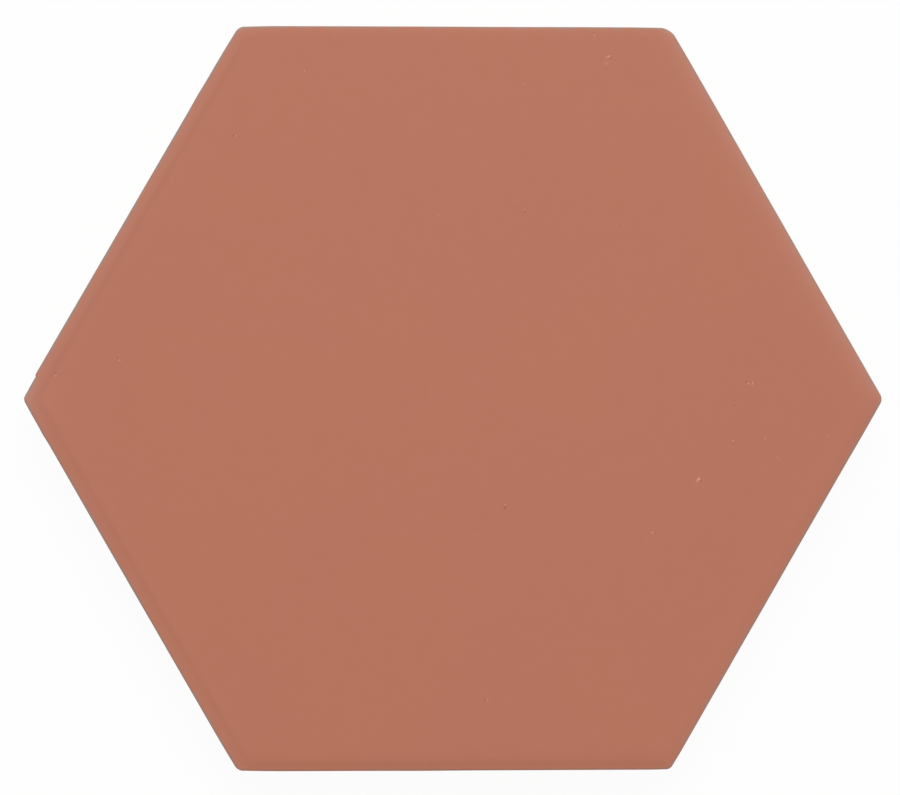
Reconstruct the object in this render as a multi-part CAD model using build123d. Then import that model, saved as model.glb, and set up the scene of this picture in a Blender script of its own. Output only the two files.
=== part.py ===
from build123d import *
from math import asin, ceil, cos, degrees, radians, sin, tan
import os

# A dry-pressed hexagonal floor and wall tile, fired in one piece.
# It lies face up: the back's crests rest on Z = 0, the face looks along +Z,
# two corners point along X and two joint faces look along Y. Millimetres.

# Overall
across_flats = 101.0  # between opposite joint faces, the widest line of the tile
thickness = 9.0  # from the back's crests to the face
corner_radius = 1.2  # of the six corners, seen from above

# Edge of the face: a gentle roll-off that turns over a tight arris
roll_off_width = 2.0
roll_off_radius = 10.0
arris_radius = 0.4

# Side wall: an upright band next to the face, then a lean towards the back,
# so that the pressed tile leaves its die
joint_face_height = 2.4
wall_draft = 6.0  # degrees
foot_radius = 0.5  # round between the wall and the back

# Back: a flat border round a field of shallow pockets, whose ribs key the bedding
border_width = 5.0
field_corner_radius = 3.0
pocket_depth = 0.8
rib_pitch = 12.0  # centre to centre of the ribs, both ways
rib_crest_width = 2.0
pocket_draft = 30.0  # degrees, lean of a pocket's walls

# Worked out from the sizes above
arris_start = degrees(asin(roll_off_width / roll_off_radius))
crown_width = roll_off_width + arris_radius * (1 - sin(radians(arris_start)))
roll_off_drop = roll_off_radius * (1 - cos(radians(arris_start)))
band_top = thickness - roll_off_drop - arris_radius * cos(radians(arris_start))
band_bottom = band_top - joint_face_height
foot_inset = (
    foot_radius / cos(radians(wall_draft))
    + (band_bottom - foot_radius) * tan(radians(wall_draft))
)


def outline(inset, height, radius=corner_radius):
    """The tile's hexagon with round corners, level at a height, each side moved in by inset."""
    hexagon = RegularPolygon(across_flats / 2 - inset, 6, major_radius=False)
    return Pos(0, 0, height) * fillet(hexagon.vertices(), radius)


def arc_outlines(centre_inset, centre_height, radius, start, end, count):
    """Outlines round an arc of the side's profile, from start to end degrees off straight up."""
    angles = [radians(start + (end - start) * i / count) for i in range(count + 1)]
    return [
        outline(centre_inset - radius * sin(a), centre_height + radius * cos(a))
        for a in angles
    ]


def crown():
    """The top of the tile, from the flat of the face over the roll-off and the arris."""
    roll_off = arc_outlines(
        crown_width, thickness - roll_off_radius, roll_off_radius, 0, arris_start, 4
    )
    arris = arc_outlines(arris_radius, band_top, arris_radius, arris_start, 90, 6)
    return loft(roll_off) + loft(arris)


def wall():
    """The upright band, the leaning wall below it and the round foot."""
    band_foot = outline(0, band_bottom)
    foot = arc_outlines(foot_inset, foot_radius, foot_radius, 90 + wall_draft, 180, 4)
    return extrude(band_foot, amount=joint_face_height) + loft([foot[0], band_foot]) + loft(foot)


def pockets():
    """The shallow pockets of the back: square cells, clipped where they meet the border."""
    field_inset = foot_inset + border_width
    cell_width = rib_pitch - rib_crest_width
    lean = pocket_depth * tan(radians(pocket_draft))

    def opened_out(roof):
        return extrude(roof, amount=2 * pocket_depth, dir=(0, 0, -1), taper=-pocket_draft)

    # Each cutter widens from its pocket's roof down past the back
    field = outline(field_inset, 0, field_corner_radius)
    field_cutter = opened_out(outline(field_inset + lean, pocket_depth, field_corner_radius))
    cell_roof = Rectangle(cell_width - 2 * lean, cell_width - 2 * lean)
    cells_each_way = ceil((across_flats / 2 - field_inset) / cos(radians(30)) / rib_pitch)
    cut = []
    for column in range(-cells_each_way, cells_each_way):
        for row in range(-cells_each_way, cells_each_way):
            x, y = (column + 0.5) * rib_pitch, (row + 0.5) * rib_pitch
            mouth = Pos(x, y) * Rectangle(cell_width, cell_width) & field
            # A clipped pocket with no more room than a rib takes beside a whole one stays solid
            if mouth and mouth.area > rib_crest_width * cell_width:
                cut.append(opened_out(Pos(x, y, pocket_depth) * cell_roof) & field_cutter)
    return cut


def hexagon_tile():
    """The whole tile, one pressed and fired piece."""
    return crown() + wall() - pockets()


os.makedirs("parts", exist_ok=True)
export_step(hexagon_tile(), "parts/hexagon_tile.step")
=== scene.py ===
import math
import bmesh
import bpy
from mathutils import Euler, Matrix, Vector, kdtree, noise


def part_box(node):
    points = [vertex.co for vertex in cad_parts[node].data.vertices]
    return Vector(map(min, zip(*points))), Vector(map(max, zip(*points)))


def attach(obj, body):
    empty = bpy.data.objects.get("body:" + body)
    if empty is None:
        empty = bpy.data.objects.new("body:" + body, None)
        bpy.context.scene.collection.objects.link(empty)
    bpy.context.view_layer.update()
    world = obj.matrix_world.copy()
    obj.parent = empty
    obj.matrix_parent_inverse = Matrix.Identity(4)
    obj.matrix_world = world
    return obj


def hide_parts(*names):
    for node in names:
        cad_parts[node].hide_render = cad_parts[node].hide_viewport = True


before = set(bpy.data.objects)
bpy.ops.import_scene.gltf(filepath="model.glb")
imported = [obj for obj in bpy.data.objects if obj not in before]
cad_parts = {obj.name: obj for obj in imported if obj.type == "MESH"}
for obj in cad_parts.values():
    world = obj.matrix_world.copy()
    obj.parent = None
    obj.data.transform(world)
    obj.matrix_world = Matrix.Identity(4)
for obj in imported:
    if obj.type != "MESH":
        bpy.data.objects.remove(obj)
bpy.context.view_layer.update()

# A hexagonal floor and wall tile, pressed from porcelain stoneware, with a matt terracotta glaze.
# It lies face up on its ribbed back; +X runs from corner to corner and +Y is up in the picture.

tileLow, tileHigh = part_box("hexagon_tile")
mm = 0.001  # the tile is shaped in millimetres and brought to metres at the end
hair = 0.001  # mm, within which two heights count as the same
halfTurn = math.radians(30)  # half of what a hexagon's outline turns by at each corner


def direction(degrees):
    return Vector((math.cos(math.radians(degrees)), math.sin(math.radians(degrees)), 0))


def smoothStep(low, high, value):
    t = min(1.0, max(0.0, (value - low) / (high - low)))
    return t * t * (3 - 2 * t)


def bell(value, centre, width):
    return math.exp(-(((value - centre) / width) ** 2))


def vertsOf(geometry):
    return [g for g in geometry if isinstance(g, bmesh.types.BMVert)]


def edgesOf(geometry):
    return [g for g in geometry if isinstance(g, bmesh.types.BMEdge)]


def hexColour(code):
    # sRGB hex to the linear colour that the shaders take
    parts = [int(code[i:i + 2], 16) / 255 for i in (0, 2, 4)]
    return [p / 12.92 if p <= 0.04045 else ((p + 0.055) / 1.055) ** 2.4 for p in parts] + [1.0]


def addNode(tree, kind, settings=None, links=None):
    # settings go to an input where the node has one of that name or number, and else to the node itself
    node = tree.nodes.new(kind)
    for name, value in (settings or {}).items():
        if isinstance(name, int) or name in node.inputs:
            node.inputs[name].default_value = value
        else:
            setattr(node, name, value)
    for name, socket in (links or {}).items():
        tree.links.new(socket, node.inputs[name])
    return node


# Camera: straight down on the face, top of the picture towards +Y

cameraSetup = {
    "lens": 100.0,  # mm
    "sensorWidth": 36.0,  # mm
    "clipStart": 0.01,  # metres
    "place": (-10.41, -2.15, 346.40),  # mm from the middle of the tile's bed plane
    "turn": (0.384, -1.659, 0.041),  # degrees off straight down
}


def makeCamera(setup):
    camera = bpy.data.objects.new("photoCamera", bpy.data.cameras.new("photoCamera"))
    camera.data.lens = setup["lens"]
    camera.data.sensor_width = setup["sensorWidth"]
    camera.data.clip_start = setup["clipStart"]
    camera.location = Vector(setup["place"]) * mm
    camera.rotation_euler = Euler([math.radians(t) for t in setup["turn"]])
    bpy.context.scene.collection.objects.link(camera)
    bpy.context.scene.camera = camera


print("camera")
makeCamera(cameraSetup)


# Studio: white ground, even white surround and one large soft box beyond the tile's upper side

studio = {
    "lightTone": "FFFFFF",  # of the surround, and of what the camera sees behind the tile
    "surround": 0.56,  # strength of the even light from all round
    "softBoxBearing": 89.0,  # degrees round from +X
    "softBoxTilt": 35.0,  # degrees off straight up
    "softBoxAway": 2.0,  # metres
    "softBoxSize": 1.3,  # metres
    "softBoxPower": 22.0,  # watts
    "groundTone": "F2F2F2",
    "groundOwnLight": 0.94,  # share of plain white in the ground that the camera sees
    "groundReach": 6.0,  # metres
    "groundGap": 0.02,  # mm below the bed plane
    "groundHole": 0.985,  # share of the tile's length, so that its back can be seen from below
}


def seenOrMirrored(tree):
    # 1 for what the camera sees, straight or in gloss or glass, and 0 for light that falls on the tile
    path = addNode(tree, "ShaderNodeLightPath")
    straight = addNode(tree, "ShaderNodeMath", {"operation": "MAXIMUM"}, {
        0: path.outputs["Is Camera Ray"], 1: path.outputs["Is Transmission Ray"]})
    both = addNode(tree, "ShaderNodeMath", {"operation": "MAXIMUM"}, {
        0: straight.outputs[0], 1: path.outputs["Is Glossy Ray"]})
    return both.outputs[0]


def makeStudio(setup):
    scene = bpy.context.scene
    world = bpy.data.worlds.new("whiteSurround")
    scene.world = world
    world.use_nodes = True
    tree = world.node_tree
    tree.nodes.clear()
    seen = seenOrMirrored(tree)
    tone = hexColour(setup["lightTone"])
    even = addNode(tree, "ShaderNodeBackground", {"Color": tone, "Strength": setup["surround"]})
    white = addNode(tree, "ShaderNodeBackground", {"Color": tone, "Strength": 1.0})
    both = addNode(tree, "ShaderNodeMixShader", None, {
        0: seen, 1: even.outputs[0], 2: white.outputs[0]})
    addNode(tree, "ShaderNodeOutputWorld", None, {"Surface": both.outputs[0]})

    lamp = bpy.data.lights.new("softBox", "AREA")
    lamp.size = setup["softBoxSize"]
    lamp.energy = setup["softBoxPower"]
    box = bpy.data.objects.new("softBox", lamp)
    tilt = math.radians(setup["softBoxTilt"])
    towards = direction(setup["softBoxBearing"]) * math.sin(tilt) + Vector((0, 0, math.cos(tilt)))
    box.location = towards * setup["softBoxAway"]
    box.rotation_euler = (-towards).to_track_quat("-Z", "Y").to_euler()
    scene.collection.objects.link(box)

    ground = bpy.data.objects.new("ground", bpy.data.meshes.new("ground"))
    bm = bmesh.new()
    hole = (tileHigh.x - tileLow.x) / 2 * setup["groundHole"]
    bmesh.ops.create_circle(bm, cap_ends=False, segments=6, radius=hole)
    bmesh.ops.rotate(bm, verts=bm.verts, matrix=Matrix.Rotation(halfTurn, 3, "Z"))
    rim = vertsOf(bmesh.ops.extrude_edge_only(bm, edges=bm.edges[:])["geom"])
    bmesh.ops.scale(bm, verts=rim, vec=(setup["groundReach"] / hole,) * 2 + (1,))
    bmesh.ops.translate(bm, verts=bm.verts, vec=(0, 0, -setup["groundGap"] * mm))
    for face in bm.faces:
        face.normal_update()
        if face.normal.z < 0:
            face.normal_flip()
    bm.to_mesh(ground.data)
    bm.free()
    scene.collection.objects.link(ground)
    ground.data.materials.append(groundPaper(setup))


def groundPaper(setup):
    # white background paper: plain white to the camera, with the tile's soft shadow kept in the rest;
    # its underside lets light and sight through
    material = bpy.data.materials.new("whiteBackgroundPaper")
    material.use_nodes = True
    tree = material.node_tree
    tree.nodes.clear()
    share = addNode(tree, "ShaderNodeMath", {"operation": "MULTIPLY", 1: setup["groundOwnLight"]}, {
        0: seenOrMirrored(tree)})
    paper = addNode(tree, "ShaderNodeBsdfDiffuse", {"Color": hexColour(setup["groundTone"])})
    white = addNode(tree, "ShaderNodeEmission", {"Color": hexColour(setup["lightTone"]), "Strength": 1.0})
    top = addNode(tree, "ShaderNodeMixShader", None, {
        0: share.outputs[0], 1: paper.outputs[0], 2: white.outputs[0]})
    clear = addNode(tree, "ShaderNodeBsdfTransparent")
    side = addNode(tree, "ShaderNodeNewGeometry")
    both = addNode(tree, "ShaderNodeMixShader", None, {
        0: side.outputs["Backfacing"], 1: top.outputs[0], 2: clear.outputs[0]})
    addNode(tree, "ShaderNodeOutputMaterial", None, {"Surface": both.outputs[0]})
    return material


print("studio")
makeStudio(studio)


# The tile's section, in millimetres and degrees: the overall sizes come from the frame, and the others
# are repeated from its drawing

section = {
    "halfFlats": tileHigh.y / mm,
    "thickness": (tileHigh.z - tileLow.z) / mm,
    "rollOffWidth": 2.0,
    "rollOffRadius": 10.0,
    "arrisRadius": 0.4,
    "jointFaceHeight": 2.4,
    "wallDraft": 6.0,
    "footRadius": 0.5,
    "borderWidth": 5.0,
    "pocketDepth": 0.8,
    "ribPitch": 12.0,
    "ribCrestWidth": 2.0,
    "pocketDraft": 30.0,
}

# Each side of this one tile: where it faces, how far it stands in from true, how its face rolls off
# (slope at the arris, and the width over which it eases out), how pale its edge is, from thin glaze and
# painted sheen, and over what reach, how strongly and how far in it has pooled in a line, and how grey
# its arris is, from the body showing through and painted shade
sides = {
    "upperRight": {
        "facing": 29.91, "inset": 0.01, "slope": 0.20, "width": 2.6, "thinAndSheen": 0.075, "reach": 1.25,
        "pool": 0.0, "poolAt": 1.75, "bareAndShade": 0.56},
    "top": {
        "facing": 90.08, "inset": 0.17, "slope": 0.17, "width": 1.7, "thinAndSheen": 0.004, "reach": 1.0,
        "pool": 0.0, "poolAt": 1.75, "bareAndShade": 0.58},
    "upperLeft": {
        "facing": 150.02, "inset": 0.0, "slope": 0.20, "width": 2.3, "thinAndSheen": 0.045, "reach": 1.3,
        "pool": 0.105, "poolAt": 1.85, "bareAndShade": 0.78},
    "lowerLeft": {
        "facing": 209.94, "inset": 0.01, "slope": 0.20, "width": 2.3, "thinAndSheen": 0.036, "reach": 1.1,
        "pool": 0.10, "poolAt": 1.8, "bareAndShade": 0.57},
    "bottom": {
        "facing": 270.04, "inset": 0.20, "slope": 0.19, "width": 3.2, "thinAndSheen": 0.0, "reach": 1.0,
        "pool": 0.08, "poolAt": 1.0, "bareAndShade": 0.26},
    "lowerRight": {
        "facing": 330.03, "inset": 0.0, "slope": 0.25, "width": 2.3, "thinAndSheen": 0.027, "reach": 1.2,
        "pool": 0.0, "poolAt": 1.75, "bareAndShade": 0.60},
}

# Each corner: its direction, its radius seen from above, how far and over what reach its sides draw in
# towards it, how much lower its glaze has run, how pale it is there, from thin glaze and a painted
# highlight, and over what reach
corners = {
    "right": {
        "at": 0, "radius": 1.2, "drawnIn": 0.0, "reach": 2.0, "low": 0.03,
        "thinAndSheen": 0.02, "thinAndSheenReach": 1.0},
    "upperRight": {
        "at": 60, "radius": 2.3, "drawnIn": 0.05, "reach": 3.4, "low": 0.06,
        "thinAndSheen": 0.28, "thinAndSheenReach": 0.45},
    "upperLeft": {
        "at": 120, "radius": 1.25, "drawnIn": 0.10, "reach": 3.0, "low": 0.03,
        "thinAndSheen": 0.12, "thinAndSheenReach": 0.5},
    "left": {
        "at": 180, "radius": 1.3, "drawnIn": 0.065, "reach": 1.8, "low": 0.03,
        "thinAndSheen": 0.065, "thinAndSheenReach": 2.2},
    "lowerLeft": {
        "at": 240, "radius": 1.25, "drawnIn": 0.08, "reach": 3.4, "low": 0.03,
        "thinAndSheen": 0.09, "thinAndSheenReach": 0.5},
    "lowerRight": {
        "at": 300, "radius": 0.85, "drawnIn": 0.05, "reach": 1.6, "low": 0.06,
        "thinAndSheen": 0.0, "thinAndSheenReach": 1.0},
}

meshing = {
    "stepsPerSide": 84,
    "stepsPerCorner": 8,
    "bandSteps": 11,  # up the joint face
    "arrisSteps": 8,
    "rollOffSteps": 10,
    "flatSteps": 9,  # from the roll-off in towards the grid
    "leanSteps": 14,  # down the side wall
    "footSteps": 5,
    "borderSteps": 4,
    "edgeBand": 4.6,  # mm, width of the ringed band round the gridded middle of the face
    "bandGap": 0.45,  # mm, between the last ring and the grid
    "backGap": 0.5,  # mm, between the last ring and the ribbed back
    "pocketRound": 0.22,  # mm, softened edges of the pressed back
    "roundSteps": 3,
    "sharpTurn": 0.3,  # radians, an edge of the back that turns by more is softened
    "roofMargin": 0.3,  # mm, width of the ring of faces round a pocket's roof
    "shortEdge": 1.3,  # mm, a pocket's side shorter than this is drawn together
    "markReaches": (1.0, 0.75, 0.5, 0.35),  # mm round each speck and pit, the mesh halved within each
    "flakeReaches": (1.2, 0.7),  # the same at the sharp end of the flake
    "flakeFalls": (0.3, 0.8, 1.3),  # mm below the face, places down that end
}


def steps(start, end, count):
    # from start to end, both included
    return [start + (end - start) * i / count for i in range(count + 1)]


def arcSteps(start, end, count):
    # the same round an arc, from degrees to radians
    return [math.radians(angle) for angle in steps(start, end, count)]


def workOutSection(s):
    tilt = math.asin(s["rollOffWidth"] / s["rollOffRadius"])
    draft = math.tan(math.radians(s["wallDraft"]))
    s["arrisStart"] = math.degrees(tilt)
    s["arrisWidth"] = s["arrisRadius"] * (1 - math.sin(tilt))
    s["crownWidth"] = s["rollOffWidth"] + s["arrisWidth"]
    s["bandTop"] = (
        s["thickness"] - s["rollOffRadius"] * (1 - math.cos(tilt)) - s["arrisRadius"] * math.cos(tilt))
    s["bandBottom"] = s["bandTop"] - s["jointFaceHeight"]
    s["footInset"] = (
        s["footRadius"] / math.cos(math.radians(s["wallDraft"]))
        + (s["bandBottom"] - s["footRadius"]) * draft)
    s["fieldHalf"] = s["halfFlats"] - s["footInset"] - s["borderWidth"]
    s["lean"] = s["pocketDepth"] * math.tan(math.radians(s["pocketDraft"]))
    s["cellWidth"] = s["ribPitch"] - s["ribCrestWidth"]


def ringsUp(s, m):
    # (inset, height) of the rings from the band's foot over the arris to the flat of the face
    rings = [(0.0, height) for height in steps(s["bandBottom"], s["bandTop"], m["bandSteps"])[1:]]
    for a in arcSteps(90, s["arrisStart"], m["arrisSteps"])[1:]:
        rings.append((s["arrisRadius"] * (1 - math.sin(a)), s["bandTop"] + s["arrisRadius"] * math.cos(a)))
    for a in arcSteps(s["arrisStart"], 0, m["rollOffSteps"])[1:]:
        rings.append((
            s["crownWidth"] - s["rollOffRadius"] * math.sin(a),
            s["thickness"] - s["rollOffRadius"] * (1 - math.cos(a))))
    for inset in steps(s["crownWidth"], m["edgeBand"], m["flatSteps"])[1:]:
        rings.append((inset, s["thickness"]))
    return rings


def ringsDown(s, m):
    # from the band's foot down the lean, round the foot and in over the back's border
    footAngles = arcSteps(90 + s["wallDraft"], 180, m["footSteps"])
    footTop = s["footRadius"] * (1 + math.cos(footAngles[0]))
    footEdge = s["footInset"] - s["footRadius"] * math.sin(footAngles[0])
    rings = []
    for t in steps(0, 1, m["leanSteps"])[1:]:
        rings.append((footEdge * t, s["bandBottom"] + (footTop - s["bandBottom"]) * t))
    for a in footAngles[1:]:
        rings.append((s["footInset"] - s["footRadius"] * math.sin(a), s["footRadius"] * (1 + math.cos(a))))
    inner = s["footInset"] + s["borderWidth"] - s["ribCrestWidth"] / 2 - m["backGap"]
    for inset in steps(s["footInset"], inner, m["borderSteps"])[1:]:
        rings.append((inset, 0.0))
    return rings


def cornerPoint(name):
    # where the two sides beside a corner would meet if it were sharp
    at = corners[name]["at"]
    first, second = sorted(
        sides.values(), key=lambda side: abs((side["facing"] - at + 180) % 360 - 180))[:2]
    a, b = direction(first["facing"]), direction(second["facing"])
    p, q = section["halfFlats"] - first["inset"], section["halfFlats"] - second["inset"]
    turn = a.x * b.y - a.y * b.x
    return Vector(((p * b.y - q * a.y) / turn, (q * a.x - p * b.x) / turn, 0))


def addOutline(bm, s, m):
    # the widest line of the tile: a hexagon, brought to this tile's sides, its corners rounded one by one
    earlier = set(bm.faces)
    made = bmesh.ops.create_circle(
        bm, cap_ends=True, segments=len(sides), radius=s["halfFlats"] / math.cos(halfTurn))["verts"]
    bmesh.ops.rotate(bm, verts=made, matrix=Matrix.Rotation(halfTurn, 3, "Z"))
    for name, corner in corners.items():
        vert = min(made, key=lambda v: (v.co.normalized() - direction(corner["at"])).length)
        vert.co = cornerPoint(name)
        corner["vert"] = vert
    for corner in corners.values():
        bmesh.ops.bevel(
            bm, geom=[corner.pop("vert")], affect="VERTICES", profile=0.5, material=-1,
            offset=corner["radius"] * math.tan(halfTurn), offset_type="OFFSET",
            segments=m["stepsPerCorner"])
    face = next(f for f in bm.faces if f not in earlier)
    longEdges = [e for e in face.edges if e.calc_length() > s["halfFlats"] / 2]
    bmesh.ops.delete(bm, geom=[face], context="FACES_ONLY")
    bmesh.ops.subdivide_edges(bm, edges=longEdges, cuts=m["stepsPerSide"] - m["stepsPerCorner"] - 1)
    edges = [e for e in bm.edges if e.is_wire]
    bmesh.ops.translate(
        bm, verts=list({v for e in edges for v in e.verts}), vec=(0, 0, s["bandBottom"]))
    return edges


def addRings(bm, edges, s, start, rings):
    # each ring is drawn from the last one, brought in towards the middle and moved up or down
    inset, height = start
    for nextInset, nextHeight in rings:
        grown = bmesh.ops.extrude_edge_only(bm, edges=edges)["geom"]
        verts = vertsOf(grown)
        new = set(verts)
        edges = [e for e in edgesOf(grown) if e.verts[0] in new and e.verts[1] in new]
        factor = (s["halfFlats"] - nextInset) / (s["halfFlats"] - inset)
        bmesh.ops.scale(bm, verts=verts, vec=(factor, factor, 1))
        bmesh.ops.translate(bm, verts=verts, vec=(0, 0, nextHeight - height))
        inset, height = nextInset, nextHeight
    return edges


def addFaceGrid(bm, s, m):
    # the middle of the face: three skewed grids make an even hexagon with no pole
    earlier = set(bm.edges)
    side = (s["halfFlats"] - m["edgeBand"] - m["bandGap"]) / math.cos(halfTurn)
    verts = []
    for turn in (0, 120, 240):
        u, v = direction(turn) * side, direction(turn + 120) * side
        middle = (u + v) / 2
        skew = Matrix((
            (u.x, v.x, 0, middle.x), (u.y, v.y, 0, middle.y), (0, 0, 1, s["thickness"]), (0, 0, 0, 1)))
        verts += bmesh.ops.create_grid(
            bm, x_segments=m["stepsPerSide"], y_segments=m["stepsPerSide"], size=0.5, matrix=skew)["verts"]
    bmesh.ops.remove_doubles(bm, verts=verts, dist=side / m["stepsPerSide"] / 10)  # a tenth of a step
    return [e for e in bm.edges if e.is_boundary and e not in earlier]


def addBack(bm, s, m):
    # the ribbed back: square pockets on a grid, cut off along the border; those with room are sunk
    count = 2 * math.ceil(s["halfFlats"] / math.cos(halfTurn) / s["ribPitch"])
    bmesh.ops.create_grid(bm, x_segments=count, y_segments=count, size=count * s["ribPitch"] / 2)
    rim = s["ribCrestWidth"] / 2
    mouths = bm.faces[:]
    mouthMark, pocketMark = 1, 2  # in the material index, which the cuts below hand on to each part
    bmesh.ops.inset_individual(bm, faces=mouths, thickness=rim, use_even_offset=True)
    for face in mouths:
        face.material_index = mouthMark
    outs = [direction(side["facing"]) for side in sides.values()]
    for out in outs:
        for reach, cleared in ((s["fieldHalf"], False), (s["fieldHalf"] + rim, True)):
            bmesh.ops.bisect_plane(
                bm, geom=bm.verts[:] + bm.edges[:] + bm.faces[:], dist=hair / 10, plane_no=out,
                plane_co=out * reach, clear_outer=cleared)
    bmesh.ops.reverse_faces(bm, faces=bm.faces)
    short = set()
    for face in bm.faces:
        within = all(face.calc_center_median().dot(out) < s["fieldHalf"] for out in outs)
        roomy = face.calc_area() > s["ribCrestWidth"] * s["cellWidth"]
        if face.material_index == mouthMark and within and roomy:
            face.material_index = pocketMark
            short.update(e for e in face.edges if e.calc_length() < m["shortEdge"])
    bmesh.ops.collapse(bm, edges=[e for e in bm.edges if e in short])
    cells = [face for face in bm.faces if face.material_index == pocketMark]
    for face in bm.faces:
        face.material_index = 0
    bmesh.ops.inset_individual(
        bm, faces=cells, thickness=s["lean"], depth=-s["pocketDepth"], use_even_offset=True)
    bmesh.ops.inset_individual(bm, faces=cells, thickness=m["roofMargin"], use_even_offset=True)
    bm.normal_update()
    sharp = [e for e in bm.edges if len(e.link_faces) == 2 and e.calc_face_angle() > m["sharpTurn"]]
    bmesh.ops.bevel(
        bm, geom=sharp, affect="EDGES", offset=m["pocketRound"], offset_type="OFFSET",
        segments=m["roundSteps"], profile=0.5, material=-1, clamp_overlap=True)
    print("back:", len(cells), "pockets")
    return [e for e in bm.edges if e.is_boundary]


def makeTileMesh():
    workOutSection(section)
    bm = bmesh.new()
    backRim = addBack(bm, section, meshing)
    outline = addOutline(bm, section, meshing)
    start = (0.0, section["bandBottom"])
    lowerRim = addRings(bm, outline, section, start, ringsDown(section, meshing))
    upperRim = addRings(bm, outline, section, start, ringsUp(section, meshing))
    faceRim = addFaceGrid(bm, section, meshing)
    bmesh.ops.bridge_loops(bm, edges=upperRim + faceRim)
    bmesh.ops.bridge_loops(bm, edges=lowerRim + backRim)
    bmesh.ops.recalc_face_normals(bm, faces=bm.faces)
    unclosed = [e for e in bm.edges if len(e.link_faces) != 2]
    print("tile mesh:", len(bm.verts), "points,", len(bm.faces), "faces,", len(unclosed), "open edges")
    return bm


# What the hand of the press, the glaze line and the kiln left on this one tile, in millimetres

surface = {
    "cornerBlend": 0.8,  # over which one side hands over to the next
    "leastShare": 0.001,  # a side that has less say at a point is left out there
    "cornerReach": 2.0,  # over which the lower glaze of a corner eases out
    "faceLow": 0.034,  # the face lies this much under the highest specks
    "longWave": (14.0, 0.008, 3.0),  # period, height and seed of the face's slight unevenness
    "shortWave": (5.0, 0.002, 7.0),
    "waveEase": 3.0,  # from the edge in, over which that unevenness sets in
    "markReach": 1.6,  # past which a speck or pit isn't felt
    "outlineWave": (14.0, 0.03, 11.0),  # how far the outline stands in here and there
    "outlineTall": 3.0,  # its waves are this much taller than wide
    "sideEase": 1.0,  # past the crown, over which the face stops following its sides
    "glazeLine": 7.2,  # height on the joint face where the glaze ends
    "glazeLineWaves": ((16.0, 0.50, 40.0), (4.0, 0.32, 41.0), (1.2, 0.14, 42.0)),
    "glazeLip": 0.09,  # thickness of the glaze where it ends
    "lipWidth": 0.16,  # over which it steps down to the body
    "pressSeam": 0.05,  # raised line where the two halves of the die met
    "seamWidth": 0.28,  # to either side of its middle
    "backWave": (9.0, 0.05, 21.0),
    "backMargin": -5.0,  # the back counts as this far below the glaze, so that it stays bare
    "poolReach": 0.47,  # half the width of a line in which the glaze has pooled
    "arrisReach": 0.285,  # over which the body shows through round the arris
    "arrisEase": 0.08,  # it sets in from this far below the joint face's top to twice as far above
    "bandTone": 0.1,  # how much of the arris grey, body and painted shade, shows on the joint face
}

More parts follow.
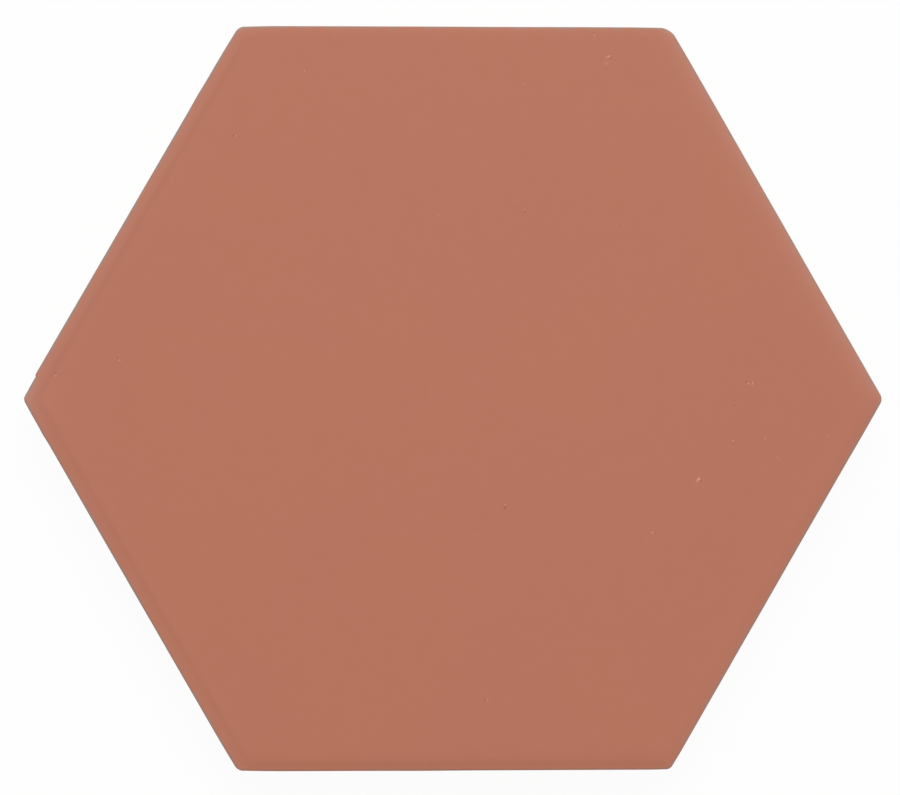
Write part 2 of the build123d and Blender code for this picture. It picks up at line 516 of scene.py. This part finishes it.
# Dust and grog fired into the glaze: place on the face, radius, height (or depth), how pale (or dark) the
# glaze is there, how much longer than wide, and which way it lies; some have burst a pit beside them,
# placed from their own middle
specks = [
    {"at": (-29.48, 35.34), "radius": 0.14, "height": 0.030, "pale": 0.42, "pit": (-0.35, 0.03)},
    {"at": (-20.31, 44.22), "radius": 0.15, "height": 0.020, "pale": 0.40},
    {"at": (-16.14, 48.70), "radius": 0.15, "height": 0.010, "pale": 0.15},
    {"at": (-2.21, 24.70), "radius": 0.15, "height": 0.010, "pale": 0.18},
    {"at": (9.43, 25.55), "radius": 0.14, "height": 0.020, "pale": 0.40, "pit": (0.02, -0.31)},
    {"at": (9.41, 42.60), "radius": 0.15, "height": 0.010, "pale": 0.25},
    {"at": (18.93, 49.15), "radius": 0.14, "height": 0.025, "pale": 0.28, "long": 1.5, "turn": 90,
     "pit": (-0.10, 0.32)},
    {"at": (18.90, 48.61), "radius": 0.20, "height": 0.008, "pale": 0.12},
    {"at": (20.83, 46.31), "radius": 0.13, "height": 0.030, "pale": 0.75, "long": 1.7, "turn": 40,
     "pit": (0.19, -0.29)},
    {"at": (20.53, 46.20), "radius": 0.18, "height": 0.012, "pale": 0.25},
    {"at": (20.53, 45.36), "radius": 0.30, "height": 0.010, "pale": 0.15, "long": 1.3},
    {"at": (-45.10, 5.08), "radius": 0.14, "height": 0.030, "pale": 0.48, "pit": (-0.24, 0.25)},
    {"at": (-53.68, 3.00), "radius": 0.14, "height": 0.025, "pale": 0.38, "long": 1.4, "turn": 90,
     "pit": (-0.04, 0.32)},
    {"at": (39.83, 2.05), "radius": 0.15, "height": 0.030, "pale": 0.65, "pit": (-0.29, 0.14)},
    {"at": (40.36, 2.08), "radius": 0.14, "height": 0.020, "pale": 0.42, "long": 2.2, "turn": 80,
     "pit": (-0.24, 0.06)},
    {"at": (38.19, -0.66), "radius": 0.15, "height": 0.012, "pale": 0.15, "pit": (-0.27, -0.27)},
    {"at": (37.76, -5.75), "radius": 0.14, "height": 0.030, "pale": 0.42, "pit": (0.05, -0.35)},
    {"at": (42.11, -5.33), "radius": 0.14, "height": 0.010, "pale": 0.20, "long": 2.2, "turn": 90},
    {"at": (50.72, -5.12), "radius": 0.15, "height": 0.010, "pale": 0.22},
    {"at": (43.66, -7.84), "radius": 0.15, "height": 0.010, "pale": 0.22},
    {"at": (44.04, -8.17), "radius": 0.15, "height": 0.008, "pale": 0.12},
    {"at": (33.06, -10.90), "radius": 0.14, "height": 0.035, "pale": 0.95, "long": 1.8, "turn": 60,
     "pit": (0.31, -0.29)},
    {"at": (32.84, -11.14), "radius": 0.28, "height": 0.012, "pale": 0.22},
    {"at": (26.78, -18.12), "radius": 0.15, "height": 0.020, "pale": 0.50},
    {"at": (4.45, -40.75), "radius": 0.15, "height": 0.025, "pale": 0.36, "pit": (-0.29, -0.03)},
    {"at": (22.43, 23.56), "radius": 0.20, "height": -0.012, "pale": -0.25},
    {"at": (-3.41, 8.62), "radius": 0.20, "height": -0.008, "pale": -0.10},
    {"at": (-4.08, 0.79), "radius": 0.20, "height": -0.010, "pale": -0.18},
    {"at": (6.80, -14.38), "radius": 0.16, "height": 0.030, "pale": 0.24},
    {"at": (6.78, -14.81), "radius": 0.19, "height": -0.030, "pale": -0.46, "long": 1.7, "turn": 90},
]

pit = {"radius": 0.18, "height": -0.020, "pale": -0.32}  # the pit beside a speck

marks = specks + [
    {**pit, "at": (speck["at"][0] + speck["pit"][0], speck["at"][1] + speck["pit"][1])}
    for speck in specks if "pit" in speck]

# The glaze and body have flaked off the arris along one short stretch next to the left corner
flake = {
    "from": (-58.31, 0.0),
    "to": (-56.55, 3.05),
    "depth": 0.17,
    "ease": 0.8,  # over which it sets in at the corner
    "step": 0.15,  # half the width of its sharp end
    "reach": 0.6,  # to either side of its line
    "fade": 2.5,  # below the joint face, where it has run out
}

# Where the glaze has gathered and swells the outline a little
swells = [
    {"at": (-34.7, 40.8), "out": 0.045, "reach": 1.6},
    {"at": (-55.5, -4.9), "out": 0.050, "reach": 0.8},
    {"at": (55.5, -4.7), "out": 0.030, "reach": 4.0},
    {"at": (-4.5, -50.3), "out": 0.030, "reach": 4.5},
]


def refineNear(bm, places, reaches):
    # the mesh is halved near each place, round after round, each round within a smaller reach
    for reach in reaches:
        bm.verts.ensure_lookup_table()
        tree = kdtree.KDTree(len(bm.verts))
        for index, vert in enumerate(bm.verts):
            tree.insert(vert.co, index)
        tree.balance()
        near = {found[1] for place in places for found in tree.find_range(place, reach)}
        edges = {
            e for i in near for e in bm.verts[i].link_edges if e.other_vert(bm.verts[i]).index in near}
        bmesh.ops.subdivide_edges(bm, edges=sorted(edges, key=lambda e: e.index), cuts=1, use_grid_fill=True)
        bm.verts.index_update()
        bm.edges.index_update()


def wave(point, period, height, seed):
    return height * noise.noise((point[0] / period, point[1] / period, point[2] / period + seed))


def edgeShares(x, y):
    # how far a point lies in from the widest line, and how much each side has to say there
    depths = [
        (section["halfFlats"] - side["inset"] - x * side["out"].x - y * side["out"].y, side)
        for side in sides.values()]
    depth = min(d for d, side in depths)
    shares = [(math.exp(-(d - depth) / surface["cornerBlend"]), side) for d, side in depths]
    total = sum(share for share, side in shares)
    return depth, [(share / total, side) for share, side in shares if share > surface["leastShare"]]


def drop(slope, width, start, depth):
    # how far the face has rolled off at a depth, easing from its slope at the start to level at the width
    left = max(0.0, width - max(start, depth))
    return slope * left * left / (2 * (width - start))


def markAt(mark, x, y):
    # 1 in the middle of a speck or pit, a seventh of that at its radius and next to nothing outside it
    turn = math.radians(mark.get("turn", 0))
    dx, dy = x - mark["at"][0], y - mark["at"][1]
    along = (dx * math.cos(turn) + dy * math.sin(turn)) / mark.get("long", 1.0)
    across = dy * math.cos(turn) - dx * math.sin(turn)
    return math.exp(-2.0 * (along * along + across * across) / mark["radius"] ** 2)


def flakeAt(x, y):
    # 1 on the flaked stretch of the arris, with a soft end at the corner and a sharp one
    start, end = Vector(flake["from"]), Vector(flake["to"])
    line = end - start
    along = (Vector((x, y)) - start).dot(line.normalized())
    aside = abs((Vector((x, y)) - start).dot(Vector((-line.y, line.x)).normalized()))
    ease, step = flake["ease"], flake["step"]
    ends = smoothStep(0, ease, along) * (1 - smoothStep(line.length - step, line.length + step, along))
    return ends * (1 - smoothStep(flake["reach"], 2 * flake["reach"], aside))


def glazeLineHeight(x, y):
    height = surface["glazeLine"]
    for lineWave in surface["glazeLineWaves"]:
        height += wave((x, y, 0), *lineWave)
    return height


def sculptFace(vert, s, layers, markTree):
    # the face's own roll-off, corners, unevenness and specks, and how the glaze lies there
    x, y, z = vert.co
    depth, shares = edgeShares(x, y)
    start = s["arrisWidth"]
    fade = smoothStep(s["bandBottom"], s["bandTop"], z)
    rise = drop(s["rollOffWidth"] / s["rollOffRadius"], s["crownWidth"], start, depth)
    rise -= sum(share * drop(side["slope"], side["width"], start, depth) for share, side in shares)
    # paler edge: partly thin glaze, partly painted sheen along each side and painted highlights at the
    # corners
    thinAndSheen = sum(share * side["thinAndSheen"] * math.exp(-max(0, depth) / side["reach"]) for share, side in shares)
    for corner in corners.values():
        away = math.hypot(x - corner["point"].x, y - corner["point"].y)
        rise -= corner["low"] * math.exp(-away / surface["cornerReach"])
        thinAndSheen += corner["thinAndSheen"] * math.exp(-away / corner["thinAndSheenReach"])
    inner = smoothStep(0.0, surface["waveEase"], depth)
    rise -= surface["faceLow"]
    rise -= abs(wave((x, y, 0), *surface["longWave"])) * inner
    rise += (wave((x, y, 0), *surface["shortWave"]) - surface["shortWave"][1]) * inner
    pale = 0.0
    for found in markTree.find_range((x, y, 0), surface["markReach"]):
        mark = marks[found[1]]
        share = markAt(mark, x, y)
        rise += mark["height"] * share
        pale += mark["pale"] * share
    pool = sum(
        share * side["pool"] * bell(depth, side["poolAt"], surface["poolReach"]) for share, side in shares)
    # grey arris: the body showing through the thinnest glaze, and painted shade darkening the rim, side by
    # side
    bareAndShade = sum(share * side["bareAndShade"] for share, side in shares) * bell(depth, 0, surface["arrisReach"])
    onArris = smoothStep(s["bandTop"] - surface["arrisEase"], s["bandTop"] + 2 * surface["arrisEase"], z)
    vert[layers["thinGlazeAndSheen"]] = thinAndSheen
    vert[layers["pooledGlaze"]] = pool
    vert[layers["bareArrisAndShade"]] = bareAndShade * onArris + surface["bandTone"] * (1 - onArris)
    vert[layers["speckTone"]] = pale
    return rise * fade


def sculptWall(vert, s, layers):
    # the outline's knocks and waves, the glaze's ragged lower lip and the seam of the press
    x, y, z = vert.co
    margin = z - glazeLineHeight(x, y)
    vert[layers["glazeMargin"]] = margin
    upper = smoothStep(s["bandBottom"] - flake["fade"], s["bandTop"], z)
    stand = -abs(wave((x, y, z / surface["outlineTall"]), *surface["outlineWave"]))
    for corner in corners.values():
        away = math.hypot(x - corner["point"].x, y - corner["point"].y)
        stand -= corner["drawnIn"] * bell(away, 0, corner["reach"])
    for swell in swells:
        stand += swell["out"] * bell(math.hypot(x - swell["at"][0], y - swell["at"][1]), 0, swell["reach"])
    stand -= flake["depth"] * flakeAt(x, y) * upper
    stand -= surface["glazeLip"] * (1 - smoothStep(-surface["lipWidth"], 0.0, margin))
    stand += surface["pressSeam"] * bell(z, s["bandBottom"], surface["seamWidth"])
    return stand


# what the sculpting notes at each point, for the glaze and the body to follow
notes = ("glazeMargin", "thinGlazeAndSheen", "pooledGlaze", "bareArrisAndShade", "speckTone")


def sculptTile(bm, s):
    layers = {name: bm.verts.layers.float.new(name) for name in notes}
    for side in sides.values():
        side["out"] = direction(side["facing"])
    for name, corner in corners.items():
        corner["point"] = cornerPoint(name)
    markTree = kdtree.KDTree(len(marks))
    for index, mark in enumerate(marks):
        markTree.insert((*mark["at"], 0), index)
    markTree.balance()
    for vert in bm.verts:
        x, y, z = vert.co
        depth = edgeShares(x, y)[0]
        move = Vector((0, 0, 0))
        if z > s["bandBottom"] - hair:
            move.z = sculptFace(vert, s, layers, markTree)
        if z < s["footRadius"] + hair:
            vert[layers["glazeMargin"]] = surface["backMargin"]
            move.z = abs(wave((x, y, z), *surface["backWave"])) if depth > s["footInset"] else 0.0
        else:
            onFace = smoothStep(0.0, s["crownWidth"] + surface["sideEase"], depth) if z >= s["bandTop"] else 0
            move += Vector((x, y, 0)) / s["halfFlats"] * sculptWall(vert, s, layers) * (1 - onFace)
        vert.co += move


def makeTile():
    bm = makeTileMesh()
    top = section["thickness"]
    refineNear(bm, [(*mark["at"], top) for mark in marks], meshing["markReaches"])
    flakeEnd = [(*flake["to"], top - fall) for fall in meshing["flakeFalls"]]
    refineNear(bm, flakeEnd, meshing["flakeReaches"])
    manySided = [face for face in bm.faces if len(face.verts) > 4]
    bmesh.ops.triangulate(bm, faces=manySided, ngon_method="BEAUTY")  # no slivers between points in line
    sculptTile(bm, section)
    print("sculpted:", len(bm.verts), "points,", sum(len(f.verts) - 2 for f in bm.faces), "triangles")
    for face in bm.faces:
        face.smooth = True
    bmesh.ops.scale(bm, verts=bm.verts, vec=(mm, mm, mm))
    mesh = bpy.data.meshes.new("hexagonTile")
    bm.to_mesh(mesh)
    bm.free()
    tile = bpy.data.objects.new("hexagonTile", mesh)
    bpy.context.scene.collection.objects.link(tile)
    return tile


# Finishes

glaze = {
    "colour": "B36C53",  # matt terracotta
    "warmer": "B36D52",
    "cooler": "B26C54",  # the warmer and the cooler one make broad clouds
    "freckled": "B57059",
    "pale": "EDE6E3",  # the thin glaze's milky edge, also the painted sheen along the edges and the painted highlight at the corners
    "pooled": "7A3F2E",  # thick glaze, in the pits and in the lines behind the edges
    "speck": "F3B09B",
    "ior": 1.5,
    "roughness": 0.68,
    "cloud": 25.0,  # mm, the broad mottling of a sprayed coat
    "mottle": 6.0,  # mm
    "freckle": 1.4,  # mm
    "grain": 0.7,  # mm, coarser than the real crystals of a matt glaze, which are too fine to show
    "grainHeight": 0.0004,  # mm
    "edgeWidth": 0.10,  # mm, over which the coat ends on the sides
    "fogReach": 1.2,  # mm, how far below its edge the spray has settled
    "fogCover": 0.6,  # its share at the coat's edge, before it breaks up into droplets
}

body = {
    "colour": "D6C8B6",  # greige porcelain stoneware
    "darker": "C4B39E",
    "arris": "8F857C",  # body seen through the thinnest glaze, darkened as painted shade on the rim
    "drawn": "B9A792",  # streaks where the die slid along the side
    "wash": "EDE8DF",  # kiln wash left by the rollers on what stood on them
    "roughness": 0.9,
    "grain": 0.28,  # mm, pressed spray-dried granules
    "grainHeight": 0.012,  # mm
    "blotch": 9.0,  # mm, patches of more and less wash
    "streakWidth": 1.1,  # mm
    "streakStretch": 0.05,  # height of a streak is its width over this
    "crestDepth": 0.15,  # mm from the bed, within which the wash lies
    "ragged": 0.12,  # mm, how far the granules break up the edge of the coat
}


def glazedBody():
    # matt glaze over pressed porcelain stoneware: soft and even on the face, paler at the edges from thin
    # glaze and painted sheen, greyish on the arris from the body showing through and painted shade, and
    # ending in a ragged line on the sides, below which the dry sandy body shows
    material = bpy.data.materials.new("mattGlazeOnPorcelain")
    material.use_nodes = True
    tree = material.node_tree
    shader = tree.nodes["Principled BSDF"]
    place = addNode(tree, "ShaderNodeTexCoord").outputs["Object"]
    upright = addNode(tree, "ShaderNodeMapping", {"Scale": (1, 1, body["streakStretch"])}, {
        "Vector": place}).outputs[0]
    height = addNode(tree, "ShaderNodeSeparateXYZ", None, {0: place}).outputs["Z"]

    noted = {}
    for name in notes:
        noted[name] = addNode(tree, "ShaderNodeAttribute", {"attribute_name": name}).outputs["Fac"]

    # each entry: a name, its period in mm, its detail and the coordinates that it follows
    noises = {}
    for name, period, detail, where in (
            ("cloud", glaze["cloud"], 2.0, place), ("mottle", glaze["mottle"], 4.0, place),
            ("freckle", glaze["freckle"], 3.0, place), ("glazeGrain", glaze["grain"], 2.0, place),
            ("bodyGrain", body["grain"], 4.0, place), ("blotch", body["blotch"], 4.0, place),
            ("streaks", body["streakWidth"], 3.0, upright)):
        noises[name] = addNode(tree, "ShaderNodeTexNoise", {"Scale": 1 / (period * mm), "Detail": detail}, {
            "Vector": where}).outputs["Fac"]

    # distance above the edge of the coat in mm, broken up by the granules of the body
    ragged = addNode(tree, "ShaderNodeMath", {"operation": "MULTIPLY_ADD", 1: body["ragged"]}, {
        0: noises["bodyGrain"], 2: noted["glazeMargin"]}).outputs[0]

    # each line: a name, what it follows, the range that is read and what that range becomes
    ranges = {}
    for name, source, low, high, first, last in (
            ("cloud", noises["cloud"], 0.3, 0.7, 0.0, 1.0),
            ("mottle", noises["mottle"], 0.3, 0.7, 0.0, 0.5),
            ("freckle", noises["freckle"], 0.3, 0.7, 0.0, 0.35),
            ("arrisBreakup", noises["freckle"], 0.38, 0.62, 0.4, 1.6),
            ("paleSpeck", noted["speckTone"], 0.0, 1.0, 0.0, 1.0),
            ("darkSpeck", noted["speckTone"], 0.0, -1.0, 0.0, 1.0),
            ("granules", noises["bodyGrain"], 0.35, 0.65, 0.0, 1.0),
            ("streaks", noises["streaks"], 0.5, 0.75, 0.0, 0.6),
            ("dusty", noises["blotch"], 0.35, 0.6, 0.25, 0.9),
            ("crest", height, body["crestDepth"] * mm, body["crestDepth"] * mm / 2, 0.0, 1.0),
            ("coat", ragged, 0.0, glaze["edgeWidth"], 0.0, 1.0),
            ("fog", ragged, -glaze["fogReach"], glaze["edgeWidth"], 0.0, glaze["fogCover"]),
            ("droplets", noises["bodyGrain"], 0.45, 0.6, 0.1, 0.5),
            ("roughness", ragged, 0.0, glaze["edgeWidth"], body["roughness"], glaze["roughness"]),
            ("glazeHeight", noises["glazeGrain"], 0.0, 1.0, 0.0, glaze["grainHeight"] * mm),
            ("bodyHeight", noises["bodyGrain"], 0.0, 1.0, 0.0, body["grainHeight"] * mm)):
        ranges[name] = addNode(tree, "ShaderNodeMapRange", {1: low, 2: high, 3: first, 4: last}, {
            0: source}).outputs[0]

    wash = addNode(tree, "ShaderNodeMath", {"operation": "MULTIPLY"}, {
        0: ranges["dusty"], 1: ranges["crest"]}).outputs[0]
    fog = addNode(tree, "ShaderNodeMath", {"operation": "MULTIPLY"}, {
        0: ranges["fog"], 1: ranges["droplets"]}).outputs[0]
    cover = addNode(tree, "ShaderNodeMath", {"operation": "MAXIMUM"}, {0: ranges["coat"], 1: fog}).outputs[0]
    # the arris grey, body seen through and painted shade, broken up along the rim
    bareAndShade = addNode(tree, "ShaderNodeMath", {"operation": "MULTIPLY"}, {
        0: ranges["arrisBreakup"], 1: noted["bareArrisAndShade"]}).outputs[0]

    # each coat: its ground colour, and what lies over it by which share
    coats = {}
    for name, ground, layers in (
            ("body", body["colour"], (
                (ranges["granules"], body["darker"]), (ranges["streaks"], body["drawn"]),
                (wash, body["wash"]))),
            # the pale edge share is thin glaze with painted sheen; the arris grey is body seen through with
            # painted shade
            ("glaze", glaze["warmer"], (
                (ranges["cloud"], glaze["cooler"]), (ranges["mottle"], glaze["colour"]),
                (ranges["freckle"], glaze["freckled"]), (noted["thinGlazeAndSheen"], glaze["pale"]),
                (noted["pooledGlaze"], glaze["pooled"]), (bareAndShade, body["arris"]),
                (ranges["paleSpeck"], glaze["speck"]), (ranges["darkSpeck"], glaze["pooled"])))):
        for share, tone in layers:
            under = {6: coats[name]} if name in coats else {}
            coats[name] = addNode(
                tree, "ShaderNodeMix", {"data_type": "RGBA", 6: hexColour(ground), 7: hexColour(tone)},
                {0: share, **under}).outputs[2]

    seen = addNode(tree, "ShaderNodeMix", {"data_type": "RGBA"}, {
        0: cover, 6: coats["body"], 7: coats["glaze"]}).outputs[2]
    relief = addNode(tree, "ShaderNodeMix", {"data_type": "FLOAT"}, {
        0: ranges["coat"], 2: ranges["bodyHeight"], 3: ranges["glazeHeight"]}).outputs[0]
    bump = addNode(tree, "ShaderNodeBump", {"Strength": 1.0, "Distance": 1.0}, {"Height": relief})
    tree.links.new(seen, shader.inputs["Base Color"])
    tree.links.new(ranges["roughness"], shader.inputs["Roughness"])
    tree.links.new(bump.outputs["Normal"], shader.inputs["Normal"])
    shader.inputs["IOR"].default_value = glaze["ior"]
    return material


tile = makeTile()
print("glaze and body")
tile.data.materials.append(glazedBody())
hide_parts("hexagon_tile")
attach(tile, "root")

bpy.context.scene.view_settings.view_transform = "Standard"
